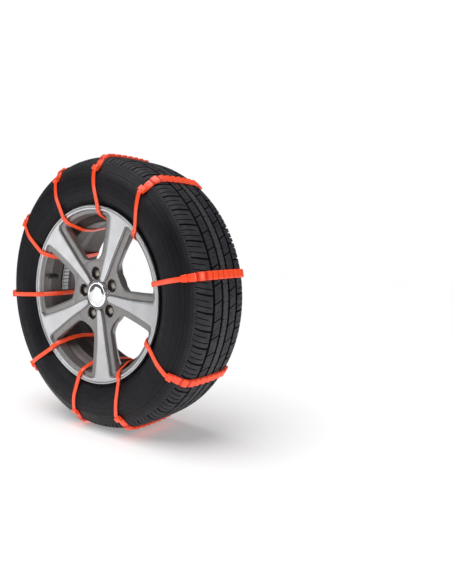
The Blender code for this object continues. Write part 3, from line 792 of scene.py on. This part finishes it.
def cleats():
    """Wedge cleats on a base that widens from the strap and narrows again.
    Each one is narrow and low at its start, and wide and tall at its step."""
    pitch = 2.0 * CLEAT_REACH / CLEATS
    stations = [(-PAD_REACH, 0.0042, 0.0085), (-0.1085, 0.0046, 0.0096), (-0.1010, 0.0046, 0.0101),
                (-0.0950, 0.0044, 0.0101), (-CLEAT_REACH, 0.0032, 0.0099)]
    for number in range(CLEATS):
        start = number * pitch - CLEAT_REACH
        for share, height, half in ((0.05, 0.0026, 0.0097), (0.13, 0.0050, 0.0103), (0.30, 0.0060, 0.0106),
                                    (0.58, 0.0071, 0.0109), (0.76, 0.0078, 0.0110), (0.80, 0.0079, 0.0110),
                                    (0.84, 0.0073, 0.0110), (0.87, 0.0040, 0.0103), (0.92, 0.0026, 0.0097)):
            stations.append((start + share * pitch, height, half))
    stations += [(CLEAT_REACH, 0.0034, 0.0100), (CLEAT_REACH + 0.0060, 0.0033, 0.0085),
                 (CLEAT_REACH + 0.0110, 0.0030, 0.0064)]
    loops = []
    for run, height, half in stations:
        outline = softened([(-half, 0.0005), (half, 0.0005), (half, 0.5 * height), (half - 0.0016, height),
                            (0.0016 - half, height), (-half, 0.5 * height)], 0.0008, 2)
        loops.append([(x, *on_tread(run, h)) for x, h in outline])
    return skin(loops)


def head():
    """Head block: floor, two cheeks and a roof with the pawl's opening.  It
    narrows toward the rim."""
    cheek = [(-0.0070, 0.0005), (-0.0070, 0.0088), (-0.0060, 0.0098), (0.0060, 0.0098), (0.0070, 0.0088),
             (0.0070, 0.0005)]
    roof = [(-0.0070, 0.0054), (-0.0070, 0.0088), (-0.0060, 0.0098), (-0.0034, 0.0098), (-0.0034, 0.0054)]
    lid = [(-0.0050, 0.0088), (-0.0050, 0.0098), (0.0060, 0.0098), (0.0068, 0.0090), (0.0068, 0.0088)]
    floor = [(-0.0070, 0.0005), (-0.0070, 0.0028), (0.0070, 0.0028), (0.0070, 0.0005)]
    flank = [(-0.0050, 0.0054), (-0.0050, 0.0092), (0.0070, 0.0092), (0.0070, 0.0054)]
    shapes = []
    for side in (-1.0, 1.0):
        shapes.append(prism([on_head(*p) for p in cheek], side * 0.00645, side * 0.0095, 0.0005))
        shapes.append(prism([on_head(*p) for p in flank], side * 0.0046, side * 0.0068, 0.0002))
    for outline in (roof, lid, floor):
        shapes.append(prism([on_head(*p) for p in outline], -0.0068, 0.0068, 0.0002))
    points, faces = together(shapes)
    narrow = []
    for x, y, r in points:
        along = (Vector((y, r)) - HEAD_AT).dot(HEAD_ALONG)
        most = between([(-0.0070, 0.0078), (-0.0010, 0.0095)], along)
        narrow.append((max(-most, min(most, x)), y, r))
    return narrow, faces


def lean(points, angle):
    """Swing points about the axle: none at the shoulder, all at the rim."""
    found = []
    for point in points:
        share = (LEAN_FROM - math.hypot(point[0], point[2])) / (LEAN_FROM - LEAN_TO)
        share = min(1.0, max(0.0, share))
        found.append(tuple(Matrix.Rotation(math.radians(angle) * share, 3, 'Y') @ Vector(point)))
    return found


def between_cleats(centre, normal):
    """The steps between cleats get a deeper red than their pads: painted shade in the valleys."""
    if math.hypot(centre.x, centre.z) < 0.3300 or abs(centre.y) > run_at(CLEAT_REACH):
        return 0
    run = math.copysign(run_at(abs(centre.y)), centre.y)
    share = (run + CLEAT_REACH) / (2.0 * CLEAT_REACH) * CLEATS % 1.0
    return 1 if share > 0.84 or share < 0.19 else 0


def make_ties():
    band, teeth, block = strap(strap_line()), cleats(), head()
    for number, (tread_angle, rim_angle) in enumerate(zip(TIE_ON_TREAD, TIE_ON_RIM), 1):
        leaned = (lean(band[0], rim_angle - tread_angle), band[1])
        piece("anti_skid_tie_%02d" % number, together([leaned, teeth, block]),
              [PAINT["orange_nylon"], PAINT["painted_shade_orange"]], ["tie_%02d" % number],
              choose=between_cleats, place=Matrix.Rotation(math.radians(tread_angle), 4, 'Y'))


def paint_cad_nodes():
    """Give the nodes that stay as they are their material."""
    kept = {"tyre_carcass": "ply_rubber", "steel_belt": "belt_steel", "bead_core_outboard": "bead_steel",
            "bead_core_inboard": "bead_steel", "valve_tube": "valve_brass", "valve_core": "valve_brass",
            "valve_core_pin": "belt_steel"}
    kept.update(("tie_%02d_pawl" % number, "orange_nylon") for number in range(1, 11))
    for name, key in kept.items():
        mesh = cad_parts[name].data
        mesh.materials.clear()
        mesh.materials.append(PAINT[key])


# ------------------------------------------------- floor, light and camera
def make_floor():
    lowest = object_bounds()[0][2]
    mesh = bpy.data.meshes.new("floor")
    mesh.from_pydata([(-6, -6, lowest), (6, -6, lowest), (6, 6, lowest), (-6, 6, lowest)], [], [(0, 1, 2, 3)])
    floor = bpy.data.objects.new("floor", mesh)
    SCENE.collection.objects.link(floor)
    white = Paint("floor_white", (0.95, 0.95, 0.95), 0.7)
    white.vary_colour(white.noise(3.0), 0.99, 1.0)
    white.shader.inputs["Emission Color"].default_value = (1.0, 1.0, 1.0, 1.0)
    white.shader.inputs["Emission Strength"].default_value = 0.27
    mesh.materials.append(white.material)


def make_light():
    """White studio: the backdrop is white, and a dimmer room and soft lamps
    light the wheel."""
    world = bpy.data.worlds.new("studio")
    SCENE.world = world
    world.use_nodes = True
    tree = world.node_tree
    room = tree.nodes["Background"]
    room.inputs["Color"].default_value = (0.97, 0.98, 1.0, 1.0)
    room.inputs["Strength"].default_value = ROOM_LIGHT
    backdrop = tree.nodes.new("ShaderNodeBackground")
    backdrop.inputs["Color"].default_value = (1.0, 1.0, 1.0, 1.0)
    path = tree.nodes.new("ShaderNodeLightPath")
    blend = tree.nodes.new("ShaderNodeMixShader")
    tree.links.new(path.outputs["Is Camera Ray"], blend.inputs["Fac"])
    tree.links.new(room.outputs["Background"], blend.inputs[1])
    tree.links.new(backdrop.outputs["Background"], blend.inputs[2])
    tree.links.new(blend.outputs["Shader"], tree.nodes["World Output"].inputs["Surface"])
    for name, kind, power, size, place in LAMPS:
        lamp = bpy.data.lights.new(name, kind)
        lamp.energy = power
        if kind == 'SUN':
            lamp.angle = size
        else:
            lamp.size = size
        holder = bpy.data.objects.new(name, lamp)
        SCENE.collection.objects.link(holder)
        holder.location = place
        holder.rotation_euler = (-Vector(place)).to_track_quat('-Z', 'Y').to_euler()


def make_camera():
    """Camera at the photograph's angle, fitted to the rim, tread and cap."""
    width, height = 452.0, 584.0
    azimuth, elevation, distance = math.radians(46.328), math.radians(6.089), 1.5442
    focal = 548.82                              # in pixels of the picture
    wheel_at = Vector((119.47 - width / 2.0, height / 2.0 - 292.53))
    back = Vector((math.sin(azimuth) * math.cos(elevation), -math.cos(azimuth) * math.cos(elevation),
                   math.sin(elevation)))
    forward = -back
    right = Vector((math.cos(azimuth), math.sin(azimuth), 0.0))
    up = right.cross(forward)
    turn = Matrix.Rotation(math.atan2(wheel_at.x, focal), 3, up)
    forward, right = turn @ forward, turn @ right
    tilt = Matrix.Rotation(-math.atan2(wheel_at.y, math.hypot(focal, wheel_at.x)), 3, right)
    forward, up = tilt @ forward, tilt @ up
    lens = bpy.data.cameras.new("camera")
    lens.sensor_width = 36.0
    lens.lens = focal / height * lens.sensor_width
    lens.clip_start = 0.01
    camera = bpy.data.objects.new("camera", lens)
    SCENE.collection.objects.link(camera)
    axes = Matrix((right, up, -forward)).transposed().to_4x4()
    camera.matrix_world = Matrix.Translation(back * distance) @ axes
    SCENE.camera = camera


make_tread()
make_sidewalls()
make_alloy_wheel()
make_nuts()
make_cap()
make_valve()
make_weights()
make_ties()
paint_cad_nodes()
make_floor()
make_light()
make_camera()
SCENE.view_settings.view_transform = 'Standard'
